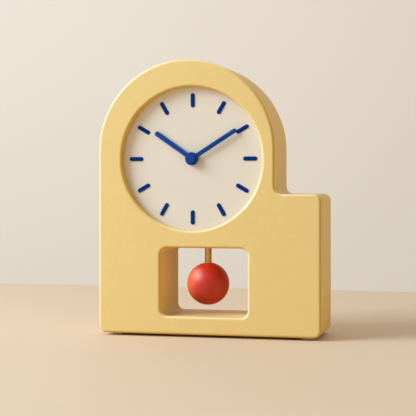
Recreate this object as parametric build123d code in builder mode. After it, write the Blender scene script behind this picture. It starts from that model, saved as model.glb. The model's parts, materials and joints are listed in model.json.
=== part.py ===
from build123d import *
import os
from math import atan2, cos, degrees, pi, radians, sin, tan

os.makedirs("parts", exist_ok=True)

# A desk pendulum clock. X runs to the right seen from the front, Y to the back and Z up.
# The origin is on the table, under the middle of the case. Lengths are in millimetres.

# Case
case_width = 160.0
case_depth = 52.0
case_height = 196.0
step_below_dial = 24.8
wall = 3.2
corner_radius = 5.2
step_radius = 5.5
edge_radius = 2.0
foot_height = 1.8
foot_radius = 4.4
foot_inset = 11.2

# Window through the base
window_from_left = 45.5
window_width = 63.0
sill_height = 14.7
window_corner = 5.0
window_roof_gap = 4.3

# Dial
dial_opening_radius = 50.8
dial_left_margin = 17.1
dial_right_margin = 8.8
dial_top_margin = 19.4
dial_recess = 6.0
dial_thickness = 1.5
collar_width = 4.6
marker_rim_gap = 4.3
marker_length = 10.1
marker_width = 2.9
marker_thickness = 0.6
marker_count = 12

# Hands
hour_hand_marker_gap = 3.4
hour_hand_width = 3.5
minute_hand_marker_lap = 1.6
minute_hand_width = 3.1
hand_thickness = 0.8
hour_boss_radius = 4.4
hour_boss_thickness = 0.9
minute_boss_radius = 4.7
minute_boss_thickness = 1.4
hand_gap = 0.4
cap_radius = 3.1
cap_height = 1.7
cap_bevel = 0.35
shown_minutes = 9.6
shown_hours = 10.0

# Rear cover and door
cover_thickness = 2.4
cover_inset = 0.8
cover_gap = 0.25
door_width = 58.0
door_height = 60.0
door_gap = 0.3
hinge_pin_radius = 0.6
hinge_pin_grip = 4.0
scoop_radius = 7.0
scoop_depth = 1.2
scoop_drop = 7.0

# Screws
cover_screw_radius = 1.25
cover_screw_head_radius = 2.3
cover_screw_head_height = 1.2
cover_screw_length = 12.0
cover_boss_radius = 3.4
cover_boss_merge = 0.34
drive_slot_width_share = 0.22
drive_slot_length_share = 1.3
column_window_gap = 12.1
column_below_step = 27.0
side_boss_below_dial = 17.8
small_screw_radius = 0.8
small_screw_head_radius = 1.5
small_screw_head_height = 0.9
dial_screw_length = 5.0
dial_screw_angle = 60.0
lug_screw_length = 4.6
housing_screw_length = 9.0
bracket_screw_length = 4.2

# Movement housing
movement_size = 56.0
movement_depth = 16.0
movement_corner = 3.0
movement_wall = 1.2
split_depth = 8.5
lug_reach = 7.0
lug_width = 8.0
lug_thickness = 2.0
lug_lift = 2.0
housing_boss_radius = 1.7
housing_boss_inset = 2.7

# Cell and its bay
cell_radius = 7.25
cell_body_length = 49.2
cell_nub_radius = 2.7
cell_nub_length = 1.3
bay_end_wall = 1.0
bay_floor = 0.7
bay_edge = 0.9
bay_divider = 1.0
cell_clearance = 0.25
contact_thickness = 0.4
contact_width = 9.0
contact_pad_radius = 2.2
tab_width = 3.0
tab_length = 2.5

# Wheel train
wheel_thickness = 0.9
level_gap = 0.4
shaft_radius = 0.55
pivot_radius = 0.35
pivot_depth = 0.6
minute_shaft_radius = 1.5
minute_pivot_radius = 0.8
minute_collar_radius = 2.2
minute_collar_gap = 0.1
pipe_radius = 2.5
bushing_radius = 3.5
bushing_stand = 1.0
knob_shaft_radius = 1.5
knob_radius = 6.5
knob_height = 3.6
knob_groove_radius = 0.45
knob_groove_count = 24
motion_module = 0.5
hour_module = 0.48
centre_module = 0.32
third_module = 0.25
seconds_module = 0.22
rotor_module = 0.20
cannon_teeth = 12
minute_wheel_teeth = 36
minute_pinion_teeth = 10
hour_wheel_teeth = 40
knob_teeth = 12
centre_teeth = 64
third_pinion_teeth = 8
third_teeth = 60
seconds_pinion_teeth = 8
seconds_teeth = 60
intermediate_pinion_teeth = 10
intermediate_teeth = 50
rotor_pinion_teeth = 10
tooth_width_share = 0.40
tooth_tip_share = 0.16
addendum_share = 0.85
dedendum_share = 1.2
minute_wheel_angle = 180.0
knob_angle = 115.0
third_angle = 10.0
seconds_angle = 80.0
intermediate_angle = 140.0
rotor_angle = 170.0

# Stepping motor and circuit board
magnet_radius = 2.2
magnet_length = 2.2
magnet_gap = 0.7
stator_thickness = 1.0
stator_hole_gap = 0.4
stator_rim = 0.55
stator_left = 22.8
stator_arm_width = 3.8
stator_arm_pitch = 14.9
core_height = 2.6
core_rise = 6.65
coil_radius = 2.8
coil_length = 9.0
coil_bore_gap = 0.1
motor_post_radius = 1.3
board_left = 10.5
board_width = 12.0
board_height = 6.0
board_bottom = 19.5
board_thickness = 1.0
board_stand = 1.9
board_post_radius = 1.2
chip_size = 3.0
chip_height = 1.2
crystal_radius = 0.8
crystal_length = 4.5

# Pendulum
pendulum_offset = 2.6
ball_radius_share = 0.3173
ball_gap_share = 0.1277
rod_radius = 2.5
rod_in_ball_share = 0.383
swing_angle = 10.0
slot_clearance = 0.7
pivot_rise = 24.0
movement_gap = 3.2
pin_radius = 1.0
bush_radius = 2.0
hub_radius = 3.6
hub_half_length = 5.0
arm_half_width = 2.2
arm_half_thickness = 1.6
magnet_drop = 12.0
drive_magnet_radius = 3.2
magnet_cup_radius = 4.6
magnet_cup_half_length = 2.6
socket_radius = 3.3
socket_length = 5.0
rod_below_magnet = 0.6

# Pendulum bracket and drive
bracket_thickness = 2.0
bracket_margin = 6.5
bracket_half_depth = 13.0
ear_half_gap = 9.0
ear_thickness = 2.0
ear_half_width = 7.0
ear_top_radius = 4.5
ear_boss_radius = 2.4
end_play = 0.3
bracket_screw_inset = 3.2
drive_coil_radius = 5.4
drive_coil_flange = 0.7
drive_coil_gap = 1.0
drive_board_width = 13.0
drive_board_height = 12.0
drive_board_thickness = 1.0
stake_radius = 0.8
stake_height = 0.5
lead_radius = 0.4
lead_drop = 6.0
lead_bend_share = 0.6

# Fits and cuts
running_gap = 0.05
press_gap = 0.02
screw_gap = 0.15
end_gap = 0.2
overrun = 1.0

# Places that follow from the sizes above
case_left = -case_width / 2
case_right = case_width / 2
front_y = -case_depth / 2
back_y = case_depth / 2
tower_width = dial_left_margin + 2 * dial_opening_radius + dial_right_margin
tower_right = case_left + tower_width
shoulder_width = case_width - tower_width
arch_x = case_left + tower_width / 2
arch_z = case_height - tower_width / 2

dial_x = case_left + dial_left_margin + dial_opening_radius
dial_height = case_height - dial_top_margin - dial_opening_radius
step_height = dial_height - step_below_dial
dial_centre = (dial_x, dial_height)
dial_face_y = front_y + dial_recess
dial_back_y = dial_face_y + dial_thickness
collar_radius = dial_opening_radius + collar_width
dial_radius = collar_radius - end_gap
marker_inner_radius = dial_opening_radius - marker_rim_gap - marker_length
hour_hand_length = marker_inner_radius - hour_hand_marker_gap
minute_hand_length = marker_inner_radius + minute_hand_marker_lap

cover_back_y = back_y - cover_inset
cover_front_y = cover_back_y - cover_thickness
hinge_y = cover_back_y - cover_thickness / 2
hinge_z = dial_height - door_height / 2
barrel_radius = cover_thickness / 2

movement_front_y = dial_back_y
movement_back_y = movement_front_y + movement_depth
split_y = movement_front_y + split_depth
inner_front_y = movement_front_y + movement_wall
inner_back_y = movement_back_y - movement_wall
movement_half = movement_size / 2
movement_bottom = dial_height - movement_half

# The window is as high as the dial plate and the pendulum's pivot, under the movement, leave room for
pivot_room = pivot_rise + ear_top_radius + movement_gap
floor_z = min(movement_bottom - pivot_room, dial_height - collar_radius - window_roof_gap)
ceiling_z = floor_z - wall
window_height = ceiling_z - sill_height
window_x = case_left + window_from_left + window_width / 2
window_z = sill_height + window_height / 2

hour_hand_back_y = dial_face_y - bushing_stand - hand_gap
hour_hand_front_y = hour_hand_back_y - hour_boss_thickness
minute_hand_back_y = hour_hand_front_y - hand_gap
minute_hand_front_y = minute_hand_back_y - minute_boss_thickness
cap_front_y = minute_hand_front_y - cap_height
minute_shaft_front_y = minute_hand_front_y - cap_height / 2

bay_length = movement_size - 2 * bay_end_wall
bay_bottom = movement_bottom + bay_edge
bay_height = 2 * (cell_radius + cell_clearance)
bay_top = bay_bottom + bay_height
chamber_bottom = bay_top + bay_divider
chamber_top = dial_height + movement_half - movement_wall
cell_y = movement_front_y + bay_floor + cell_clearance + cell_radius
cell_z = bay_bottom + cell_clearance + cell_radius

pendulum_x = window_x - pendulum_offset
ball_radius = window_height * ball_radius_share
ball_z = sill_height + window_height * ball_gap_share + ball_radius
pivot_z = floor_z + pivot_rise
magnet_z = pivot_z - magnet_drop
rod_top = magnet_z - drive_magnet_radius - rod_below_magnet
rod_bottom = ball_z + ball_radius - ball_radius * rod_in_ball_share
slot_half = (pivot_z - ceiling_z) * tan(radians(swing_angle)) + rod_radius / cos(radians(swing_angle))
slot_length = 2 * (slot_half + slot_clearance)
slot_width = 2 * (rod_radius + slot_clearance)
bracket_half_width = slot_length / 2 + bracket_margin
bracket_top = floor_z + bracket_thickness


def facing(y):
    """A plane across the clock at depth y. Its x is the clock's X, and its y is the clock's Z."""
    return Plane(origin=(0, y, 0), x_dir=(1, 0, 0), z_dir=(0, -1, 0))


def bars(front, back, radius, spots, mode=Mode.ADD):
    """Round bars that run along the clock's depth, one at each (x, z) spot."""
    with BuildSketch(facing(back)) as rounds:
        with Locations(*spots):
            Circle(radius)
    extrude(rounds.sketch, amount=back - front, mode=mode)


def blocks(front, back, width, height, spots, mode=Mode.ADD):
    """Square-cornered blocks between two depths, one centred on each (x, z) spot."""
    with BuildSketch(facing(back)) as rectangles:
        with Locations(*spots):
            Rectangle(width, height)
    extrude(rectangles.sketch, amount=back - front, mode=mode)


def rounded_block(front, back, width, height, radius, spot, mode=Mode.ADD):
    """One block with rounded corners between two depths."""
    with BuildSketch(facing(back)) as rectangle:
        with Locations(spot):
            RectangleRounded(width, height, radius)
    extrude(rectangle.sketch, amount=back - front, mode=mode)


def posts(bottom, top, radius, spots, mode=Mode.ADD):
    """Upright round posts, one at each (x, y) spot."""
    with BuildSketch(Plane.XY.offset(bottom)) as rounds:
        with Locations(*spots):
            Circle(radius)
    extrude(rounds.sketch, amount=top - bottom, mode=mode)


def rods(left, right, radius, spots, mode=Mode.ADD):
    """Round rods that run from left to right, one at each (y, z) spot."""
    with BuildSketch(Plane.YZ.offset(left)) as rounds:
        with Locations(*spots):
            Circle(radius)
    extrude(rounds.sketch, amount=right - left, mode=mode)


def case_outline(y, inset):
    """The case's front outline, at depth y and set in from its edge."""
    left = case_left + inset
    right = case_right - inset
    tower = tower_right - inset
    base = foot_height + inset
    step = step_height - inset
    with BuildSketch(facing(y)) as outline:
        with BuildLine():
            Polyline(
                (left, arch_z), (left, base), (right, base), (right, step), (tower, step), (tower, arch_z)
            )
            ThreePointArc((tower, arch_z), (arch_x, case_height - inset), (left, arch_z))
        make_face()
        inner_corner = outline.vertices().group_by(Axis.Y)[1].sort_by(Axis.X)[0]
        fillet(inner_corner, min(step_radius, (shoulder_width - wall) / 2) + inset)
        outer_corners = outline.vertices().group_by(Axis.X)[-1]
        outer_corners += outline.vertices().group_by(Axis.Y)[0].sort_by(Axis.X)[:1]
        corner = min(corner_radius, shoulder_width / 2)
        fillet(outer_corners, max(corner - inset, corner / 4))
    return outline.sketch


def polar(centre, distance, angle):
    """The point at a distance and angle from a centre, in the dial's plane."""
    return (centre[0] + distance * cos(radians(angle)), centre[1] + distance * sin(radians(angle)))


def direction(start, end):
    """The angle of the line from start to end, in degrees."""
    return degrees(atan2(end[1] - start[1], end[0] - start[0]))


def mesh_distance(teeth, other_teeth, module):
    """How far apart two meshed wheels stand."""
    return (teeth + other_teeth) * module / 2


def mesh_phase(phase, teeth, angle, other_teeth):
    """How far the other wheel is turned, so that its gaps take this wheel's teeth."""
    return angle + 180 + 180 / other_teeth - (phase - angle) * teeth / other_teeth


def toothed(front, back, teeth, module, phase, centre):
    """A toothed rim between two depths."""
    pitch_radius = teeth * module / 2
    tip_radius = pitch_radius + addendum_share * module
    root_radius = pitch_radius - dedendum_share * module
    half_tooth = tooth_width_share * 180 / teeth
    half_tip = degrees(tooth_tip_share * pi * module / tip_radius)
    corners = []
    for tooth in range(teeth):
        middle = phase + tooth * 360 / teeth
        corners.append(polar(centre, root_radius, middle - half_tooth))
        corners.append(polar(centre, pitch_radius, middle - half_tooth))
        corners.append(polar(centre, tip_radius, middle - half_tip))
        corners.append(polar(centre, tip_radius, middle + half_tip))
        corners.append(polar(centre, pitch_radius, middle + half_tooth))
        corners.append(polar(centre, root_radius, middle + half_tooth))
    with BuildSketch(facing(back)) as rim:
        with BuildLine():
            Polyline(*corners, close=True)
        make_face()
    extrude(rim.sketch, amount=back - front)


def level(number):
    """The front and back of a level of the wheel train, counted from the dial."""
    front = inner_front_y + level_gap / 2 + number * (wheel_thickness + level_gap)
    return front, front + wheel_thickness


# Screw and boss places
boss_inset = wall + cover_boss_radius - cover_boss_merge
cover_screw_spots = [
    (case_left + boss_inset, foot_height + boss_inset),
    (case_right - boss_inset, foot_height + boss_inset),
    (case_right - boss_inset, step_height - boss_inset),
    (arch_x, case_height - boss_inset),
    (case_left + boss_inset, dial_height - side_boss_below_dial),
    (window_x + window_width / 2 + wall + column_window_gap, step_height - column_below_step),
]
dial_screw_spots = [
    polar(dial_centre, dial_opening_radius + collar_width / 2, side * dial_screw_angle + turn)
    for side in (-1, 1) for turn in (0, 180)
]
lug_spots = [
    (dial_x - movement_half - lug_reach / 2, dial_height),
    (dial_x + movement_half + lug_reach / 2, dial_height),
]
housing_right = dial_x + movement_half - housing_boss_inset
housing_left = dial_x - movement_half + housing_boss_inset
housing_high = dial_height + movement_half - housing_boss_inset
housing_low = chamber_bottom + housing_boss_inset - movement_wall
housing_screw_spots = [
    (housing_left, housing_low),
    (housing_right, housing_low),
    (housing_left, housing_high),
    (housing_right, housing_high),
]
bracket_screw_x = bracket_half_width - bracket_screw_inset
bracket_screw_y = bracket_half_depth - bracket_screw_inset
bracket_screw_spots = [
    (pendulum_x + side * bracket_screw_x, end * bracket_screw_y) for side in (-1, 1) for end in (-1, 1)
]
bracket_pilot_depth = bracket_screw_length - bracket_thickness + end_gap

# Wheel places
cannon_to_minute = mesh_distance(cannon_teeth, minute_wheel_teeth, motion_module)
minute_spot = polar(dial_centre, cannon_to_minute, minute_wheel_angle)
knob_spot = polar(minute_spot, mesh_distance(minute_wheel_teeth, knob_teeth, motion_module), knob_angle)
third_spot = polar(
    dial_centre, mesh_distance(centre_teeth, third_pinion_teeth, centre_module), third_angle
)
seconds_spot = polar(
    third_spot, mesh_distance(third_teeth, seconds_pinion_teeth, third_module), seconds_angle
)
intermediate_spot = polar(
    seconds_spot, mesh_distance(seconds_teeth, intermediate_pinion_teeth, seconds_module), intermediate_angle
)
rotor_spot = polar(
    intermediate_spot, mesh_distance(intermediate_teeth, rotor_pinion_teeth, rotor_module), rotor_angle
)
small_shaft_spots = [minute_spot, third_spot, seconds_spot, intermediate_spot, rotor_spot]

# Motor and board places
rotor_x, rotor_z = rotor_spot
magnet_front_y = level(5)[1] + magnet_gap
stator_y = magnet_front_y + (magnet_length - stator_thickness) / 2
core_y = stator_y + stator_thickness
stator_hole_radius = magnet_radius + stator_hole_gap
stator_half_height = stator_hole_radius + stator_rim
stator_left_x = dial_x - stator_left
stator_right_x = rotor_x + stator_hole_radius + stator_arm_width / 2
arm_x = [stator_left_x + stator_arm_width / 2, stator_left_x + stator_arm_width / 2 + stator_arm_pitch]
core_z = rotor_z + core_rise
core_spots = [(x, core_z) for x in arm_x]
coil_x = (arm_x[0] + arm_x[1]) / 2
board_spot = (dial_x + board_left + board_width / 2, dial_height + board_bottom + board_height / 2)
board_back_y = inner_back_y - board_stand
board_post_spots = [(board_spot[0] + side * board_width / 3, board_spot[1]) for side in (-1, 1)]


with BuildPart() as case_shell:
    # Block, hollowed from the back
    extrude(case_outline(back_y, 0), amount=case_depth)
    extrude(case_outline(back_y, wall), amount=case_depth - wall, mode=Mode.SUBTRACT)
    # Collar behind the dial opening, and screw bosses
    bars(front_y + wall, dial_face_y, collar_radius, [dial_centre])
    bars(front_y + wall, cover_front_y, cover_boss_radius, cover_screw_spots)
    # Dial opening and window
    bars(front_y - overrun, dial_face_y + overrun, dial_opening_radius, [dial_centre], Mode.SUBTRACT)
    rounded_block(
        front_y - overrun, front_y + wall + overrun, window_width, window_height, window_corner,
        (window_x, window_z), Mode.SUBTRACT
    )
    # Screw holes
    bars(
        cover_front_y + cover_thickness - cover_screw_length - end_gap, cover_front_y + overrun,
        cover_screw_radius + press_gap, cover_screw_spots, Mode.SUBTRACT
    )
    bars(
        dial_back_y - dial_screw_length - end_gap, dial_face_y + overrun,
        small_screw_radius + press_gap, dial_screw_spots, Mode.SUBTRACT
    )
    # Rounded edges, front and back
    front_face = case_shell.faces().sort_by(Axis.Y)[0]
    rim_face = case_shell.faces().sort_by(Axis.Y)[-1]
    fillet(front_face.edges() + rim_face.outer_wire().edges(), edge_radius)
case_shell.part.label = "case_shell"
export_step(case_shell.part, "parts/case_shell.step")


with BuildPart() as window_sleeve:
    # Tube from the back of the front wall to the back of the clock
    rounded_block(
        front_y + wall, back_y, window_width + 2 * wall, window_height + 2 * wall, window_corner + wall,
        (window_x, window_z)
    )
    rounded_block(
        front_y, back_y + overrun, window_width, window_height, window_corner, (window_x, window_z),
        Mode.SUBTRACT
    )
    # Slot that the rod swings in, and the bracket's screw holes
    with BuildSketch(Plane.XY.offset(ceiling_z - overrun)) as slot:
        with Locations((pendulum_x, 0)):
            RectangleRounded(slot_length, slot_width, slot_width / 3)
    extrude(amount=wall + 2 * overrun, mode=Mode.SUBTRACT)
    posts(
        floor_z - bracket_pilot_depth, floor_z + overrun, small_screw_radius + press_gap,
        bracket_screw_spots, Mode.SUBTRACT
    )
    # Rounded edge at the back
    back_face = window_sleeve.faces().sort_by(Axis.Y)[-1]
    fillet(back_face.inner_wires()[0].edges(), edge_radius)
window_sleeve.part.label = "window_sleeve"
export_step(window_sleeve.part, "parts/window_sleeve.step")


with BuildPart() as rear_cover:
    extrude(case_outline(cover_back_y, wall + cover_gap), amount=cover_thickness)
    rounded_block(
        cover_front_y - overrun, cover_back_y + overrun,
        window_width + 2 * (wall + cover_gap), window_height + 2 * (wall + cover_gap),
        window_corner + wall + cover_gap, (window_x, window_z), Mode.SUBTRACT
    )
    # Door opening, from under the hinge barrel to over the door's top edge
    opening_low = hinge_z - barrel_radius - door_gap
    opening_high = hinge_z + door_height + door_gap
    blocks(
        cover_front_y - overrun, cover_back_y + overrun, door_width + 2 * door_gap,
        opening_high - opening_low, [(dial_x, (opening_low + opening_high) / 2)], Mode.SUBTRACT
    )
    pin_reach = door_width / 2 + hinge_pin_grip
    rods(
        dial_x - pin_reach - end_gap, dial_x + pin_reach + end_gap, hinge_pin_radius + press_gap,
        [(hinge_y, hinge_z)], Mode.SUBTRACT
    )
    # Screw holes with sunk heads
    bars(
        cover_front_y - overrun, cover_back_y + overrun, cover_screw_radius + screw_gap,
        cover_screw_spots, Mode.SUBTRACT
    )
    bars(
        cover_back_y - cover_screw_head_height, cover_back_y + overrun,
        cover_screw_head_radius + screw_gap, cover_screw_spots, Mode.SUBTRACT
    )
rear_cover.part.label = "rear_cover"
export_step(rear_cover.part, "parts/rear_cover.step")


with BuildPart() as rear_cover_screws:
    bars(
        cover_back_y - cover_screw_length, cover_back_y - cover_screw_head_height,
        cover_screw_radius, cover_screw_spots
    )
    bars(
        cover_back_y - cover_screw_head_height, cover_back_y, cover_screw_head_radius, cover_screw_spots
    )
    # Crossed drive slots
    drive_slot = cover_screw_head_radius * drive_slot_width_share
    drive_length = cover_screw_head_radius * drive_slot_length_share
    for across, along in ((drive_slot, drive_length), (drive_length, drive_slot)):
        blocks(
            cover_back_y - cover_screw_head_height / 2, cover_back_y + overrun, across, along,
            cover_screw_spots, Mode.SUBTRACT
        )
rear_cover_screws.part.label = "rear_cover_screws"
export_step(rear_cover_screws.part, "parts/rear_cover_screws.step")


with BuildPart() as access_door:
    blocks(
        cover_front_y, cover_back_y, door_width, door_height,
        [(dial_x, hinge_z + door_height / 2)]
    )
    rods(dial_x - door_width / 2, dial_x + door_width / 2, barrel_radius, [(hinge_y, hinge_z)])
    rods(
        dial_x - door_width / 2 - overrun, dial_x + door_width / 2 + overrun,
        hinge_pin_radius + running_gap, [(hinge_y, hinge_z)], Mode.SUBTRACT
    )
    # Finger scoop below the top edge
    bars(
        cover_back_y - scoop_depth, cover_back_y + overrun, scoop_radius,
        [(dial_x, hinge_z + door_height - scoop_drop - scoop_radius / 2)], Mode.SUBTRACT
    )
access_door.part.label = "access_door"
export_step(access_door.part, "parts/access_door.step")


with BuildPart() as door_hinge_pin:
    rods(dial_x - pin_reach, dial_x + pin_reach, hinge_pin_radius, [(hinge_y, hinge_z)])
door_hinge_pin.part.label = "door_hinge_pin"
export_step(door_hinge_pin.part, "parts/door_hinge_pin.step")


with BuildPart() as rubber_feet:
    foot_x = case_width / 2 - foot_inset
    foot_y = case_depth / 2 - foot_inset
    posts(0, foot_height, foot_radius, [(side * foot_x, end * foot_y) for side in (-1, 1) for end in (-1, 1)])
    fillet(rubber_feet.edges().group_by(Axis.Z)[0], foot_height / 4)
rubber_feet.part.label = "rubber_feet"
export_step(rubber_feet.part, "parts/rubber_feet.step")


with BuildPart() as dial_plate:
    bars(dial_face_y, dial_back_y, dial_radius, [dial_centre])
    bars(dial_back_y, dial_back_y + lug_lift, lug_width / 3, lug_spots)
    bars(
        dial_face_y - overrun, dial_back_y + overrun, bushing_radius + screw_gap, [dial_centre],
        Mode.SUBTRACT
    )
    bars(
        dial_face_y - overrun, dial_back_y + overrun, small_screw_radius + screw_gap, dial_screw_spots,
        Mode.SUBTRACT
    )
    bars(
        dial_back_y + lug_lift + lug_thickness - lug_screw_length - end_gap,
        dial_back_y + lug_lift + overrun, small_screw_radius + press_gap, lug_spots, Mode.SUBTRACT
    )
dial_plate.part.label = "dial_plate"
export_step(dial_plate.part, "parts/dial_plate.step")


with BuildPart() as hour_markers:
    with BuildSketch(facing(dial_face_y)):
        with Locations(dial_centre):
            with PolarLocations(marker_inner_radius + marker_length / 2, marker_count):
                SlotOverall(marker_length, marker_width)
    extrude(amount=marker_thickness)
    fillet(hour_markers.edges().group_by(Axis.Y)[0], marker_thickness / 3)
hour_markers.part.label = "hour_markers"
export_step(hour_markers.part, "parts/hour_markers.step")


with BuildPart() as dial_screws:
    bars(dial_back_y - dial_screw_length, dial_back_y, small_screw_radius, dial_screw_spots)
    bars(dial_back_y, dial_back_y + small_screw_head_height, small_screw_head_radius, dial_screw_spots)
dial_screws.part.label = "dial_screws"
export_step(dial_screws.part, "parts/dial_screws.step")


def hand_bar(back, length, width, clockwise):
    """A flat, round-ended hand from the dial's centre, turned clockwise from twelve."""
    middle = polar(dial_centre, length / 2 - width / 4, 90 - clockwise)
    with BuildSketch(facing(back)) as bar:
        with Locations(Location((middle[0], middle[1], 0), 90 - clockwise)):
            SlotOverall(length + width / 2, width)
    extrude(bar.sketch, amount=hand_thickness)


minute_angle = shown_minutes * 6
hour_angle = (shown_hours + shown_minutes / 60) * 30

with BuildPart() as hour_hand:
    hand_bar(hour_hand_back_y, hour_hand_length, hour_hand_width, hour_angle)
    bars(hour_hand_front_y, hour_hand_back_y, hour_boss_radius, [dial_centre])
    bars(
        hour_hand_front_y - overrun, hour_hand_back_y + overrun, pipe_radius + press_gap, [dial_centre],
        Mode.SUBTRACT
    )
hour_hand.part.label = "hour_hand"
export_step(hour_hand.part, "parts/hour_hand.step")


with BuildPart() as minute_hand:
    hand_bar(minute_hand_back_y, minute_hand_length, minute_hand_width, minute_angle)
    bars(minute_hand_front_y, minute_hand_back_y, minute_boss_radius, [dial_centre])
    fillet(minute_hand.edges().group_by(Axis.Y)[0], hand_gap / 2)
    bars(
        minute_hand_front_y - overrun, minute_hand_back_y + overrun, minute_shaft_radius + press_gap,
        [dial_centre], Mode.SUBTRACT
    )
minute_hand.part.label = "minute_hand"
export_step(minute_hand.part, "parts/minute_hand.step")


with BuildPart() as hand_cap:
    bars(cap_front_y, minute_hand_front_y, cap_radius, [dial_centre])
    chamfer(hand_cap.edges().group_by(Axis.Y)[0], cap_bevel)
    bars(
        minute_shaft_front_y - press_gap, minute_hand_front_y + overrun, minute_shaft_radius + press_gap,
        [dial_centre], Mode.SUBTRACT
    )
hand_cap.part.label = "hand_cap"
export_step(hand_cap.part, "parts/hand_cap.step")


chamber_middle = (dial_x, (chamber_bottom + chamber_top) / 2)
chamber_width = movement_size - 2 * movement_wall
chamber_height = chamber_top - chamber_bottom
bay_middle = (dial_x, bay_bottom + bay_height / 2)
tab_x = bay_length / 2 - contact_thickness / 2
tab_spots = [(dial_x - tab_x, bay_bottom - bay_edge / 2), (dial_x + tab_x, bay_bottom - bay_edge / 2)]

with BuildPart() as movement_front:
    rounded_block(movement_front_y, split_y, movement_size, movement_size, movement_corner, dial_centre)
    blocks(inner_front_y, split_y + overrun, chamber_width, chamber_height, [chamber_middle], Mode.SUBTRACT)
    blocks(
        movement_front_y + bay_floor, split_y + overrun, bay_length, bay_height, [bay_middle], Mode.SUBTRACT
    )
    bars(inner_front_y, split_y, housing_boss_radius, housing_screw_spots)
    # Lugs that stand on the dial plate's bosses
    lug_front_y = dial_back_y + lug_lift
    blocks(
        lug_front_y, lug_front_y + lug_thickness, lug_reach + movement_wall, lug_width,
        [(dial_x + side * (movement_half + (lug_reach - movement_wall) / 2), dial_height) for side in (-1, 1)]
    )
    bars(
        lug_front_y - overrun, lug_front_y + lug_thickness + overrun, small_screw_radius + screw_gap,
        lug_spots, Mode.SUBTRACT
    )
    # Holes for the bushing, the shafts' pivots and the screws
    bars(
        movement_front_y - overrun, inner_front_y + overrun, bushing_radius + press_gap, [dial_centre],
        Mode.SUBTRACT
    )
    bars(
        inner_front_y - pivot_depth - running_gap, inner_front_y + overrun, pivot_radius + running_gap,
        small_shaft_spots + [knob_spot], Mode.SUBTRACT
    )
    bars(
        movement_back_y - housing_screw_length - end_gap, split_y + overrun,
        small_screw_radius + press_gap, housing_screw_spots, Mode.SUBTRACT
    )
    # Notches for the contacts' tabs
    blocks(
        split_y - tab_width / 2 - end_gap, split_y + overrun, contact_thickness + end_gap,
        bay_edge + 2 * end_gap, tab_spots, Mode.SUBTRACT
    )
movement_front.part.label = "movement_front"
export_step(movement_front.part, "parts/movement_front.step")


with BuildPart() as movement_back:
    rounded_block(split_y, movement_back_y, movement_size, movement_size, movement_corner, dial_centre)
    blocks(split_y - overrun, inner_back_y, chamber_width, chamber_height, [chamber_middle], Mode.SUBTRACT)
    blocks(
        split_y - overrun, movement_back_y + overrun, bay_length, bay_height, [bay_middle], Mode.SUBTRACT
    )
    bars(split_y, inner_back_y, housing_boss_radius, housing_screw_spots)
    # Posts that carry the motor's core and the circuit board
    bars(core_y + stator_thickness, inner_back_y, motor_post_radius, core_spots)
    bars(board_back_y, inner_back_y, board_post_radius, board_post_spots)
    # Holes for the pivots, the knob's shaft and the screws
    bars(
        inner_back_y - overrun, inner_back_y + pivot_depth + running_gap, pivot_radius + running_gap,
        small_shaft_spots, Mode.SUBTRACT
    )
    bars(
        inner_back_y - overrun, inner_back_y + pivot_depth + running_gap,
        minute_pivot_radius + running_gap, [dial_centre], Mode.SUBTRACT
    )
    bars(
        inner_back_y - overrun, movement_back_y + overrun, knob_shaft_radius + running_gap, [knob_spot],
        Mode.SUBTRACT
    )
    bars(
        split_y - overrun, movement_back_y + overrun, small_screw_radius + screw_gap,
        housing_screw_spots, Mode.SUBTRACT
    )
    blocks(
        split_y - overrun, split_y + tab_width / 2 + end_gap, contact_thickness + end_gap,
        bay_edge + 2 * end_gap, tab_spots, Mode.SUBTRACT
    )
movement_back.part.label = "movement_back"
export_step(movement_back.part, "parts/movement_back.step")


with BuildPart() as movement_screws:
    lug_back_y = lug_front_y + lug_thickness
    bars(lug_back_y - lug_screw_length, lug_back_y, small_screw_radius, lug_spots)
    bars(lug_back_y, lug_back_y + small_screw_head_height, small_screw_head_radius, lug_spots)
movement_screws.part.label = "movement_screws"
export_step(movement_screws.part, "parts/movement_screws.step")


with BuildPart() as housing_screws:
    bars(movement_back_y - housing_screw_length, movement_back_y, small_screw_radius, housing_screw_spots)
    bars(
        movement_back_y, movement_back_y + small_screw_head_height, small_screw_head_radius,
        housing_screw_spots
    )
housing_screws.part.label = "housing_screws"
export_step(housing_screws.part, "parts/housing_screws.step")


with BuildPart() as hand_bushing:
    bars(dial_face_y - bushing_stand, inner_front_y, bushing_radius, [dial_centre])
    bars(
        dial_face_y - bushing_stand - overrun, inner_front_y + overrun, pipe_radius + running_gap,
        [dial_centre], Mode.SUBTRACT
    )
hand_bushing.part.label = "hand_bushing"
export_step(hand_bushing.part, "parts/hand_bushing.step")


minute_phase = mesh_phase(0, cannon_teeth, minute_wheel_angle, minute_wheel_teeth)
hour_phase = mesh_phase(0, minute_pinion_teeth, direction(minute_spot, dial_centre), hour_wheel_teeth)
knob_phase = mesh_phase(minute_phase, minute_wheel_teeth, knob_angle, knob_teeth)

with BuildPart() as minute_arbor:
    shaft_back_y = inner_back_y - end_gap
    bars(minute_shaft_front_y, shaft_back_y, minute_shaft_radius, [dial_centre])
    bars(shaft_back_y, inner_back_y + pivot_depth, minute_pivot_radius, [dial_centre])
    toothed(*level(1), cannon_teeth, motion_module, 0, dial_centre)
    collar_front_y = level(2)[1] + minute_collar_gap
    bars(collar_front_y, collar_front_y + wheel_thickness / 2, minute_collar_radius, [dial_centre])
minute_arbor.part.label = "minute_arbor"
export_step(minute_arbor.part, "parts/minute_arbor.step")


with BuildPart() as hour_wheel:
    toothed(*level(0), hour_wheel_teeth, hour_module, hour_phase, dial_centre)
    bars(hour_hand_front_y, level(0)[0], pipe_radius, [dial_centre])
    bars(
        hour_hand_front_y - overrun, level(0)[1] + overrun, minute_shaft_radius + running_gap,
        [dial_centre], Mode.SUBTRACT
    )
hour_wheel.part.label = "hour_wheel"
export_step(hour_wheel.part, "parts/hour_wheel.step")


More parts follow.
